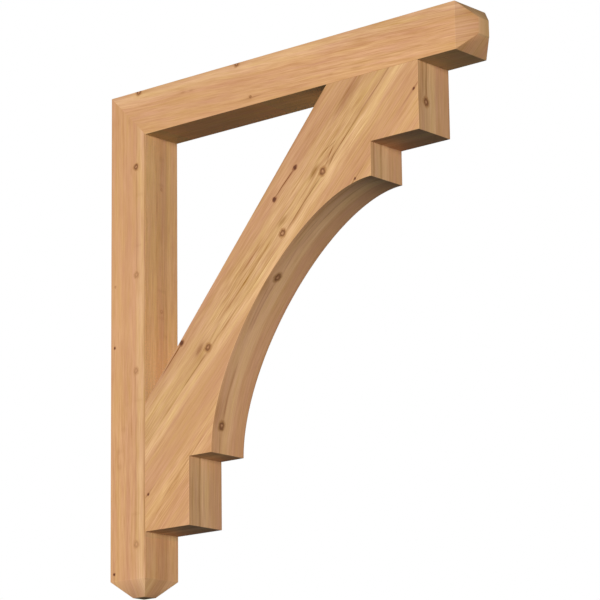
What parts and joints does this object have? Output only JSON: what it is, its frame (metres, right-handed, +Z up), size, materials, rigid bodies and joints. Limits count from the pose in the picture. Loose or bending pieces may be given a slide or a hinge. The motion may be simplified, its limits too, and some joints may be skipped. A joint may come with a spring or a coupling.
{
  "type": "wooden corbel bracket",
  "caption": "Mitred timber wall bracket: a post against the wall, an arm reaching out from its head, and an arched brace below, with blunt pointed ends.",
  "frame": {"origin": "on the wall plane, at the middle of the post's flat back", "axes": "+X out from the wall along the arm, +Y across the bracket, +Z up along the post"},
  "size_m": [0.8636, 0.0888, 0.9652],
  "materials": {
    "cedar": "smooth-planed unfinished softwood with knots, matt to faintly satin"
  },
  "bodies": {
    "root": {"post": "cedar", "arm": "cedar", "brace": "cedar"}
  },
  "joints": []
}
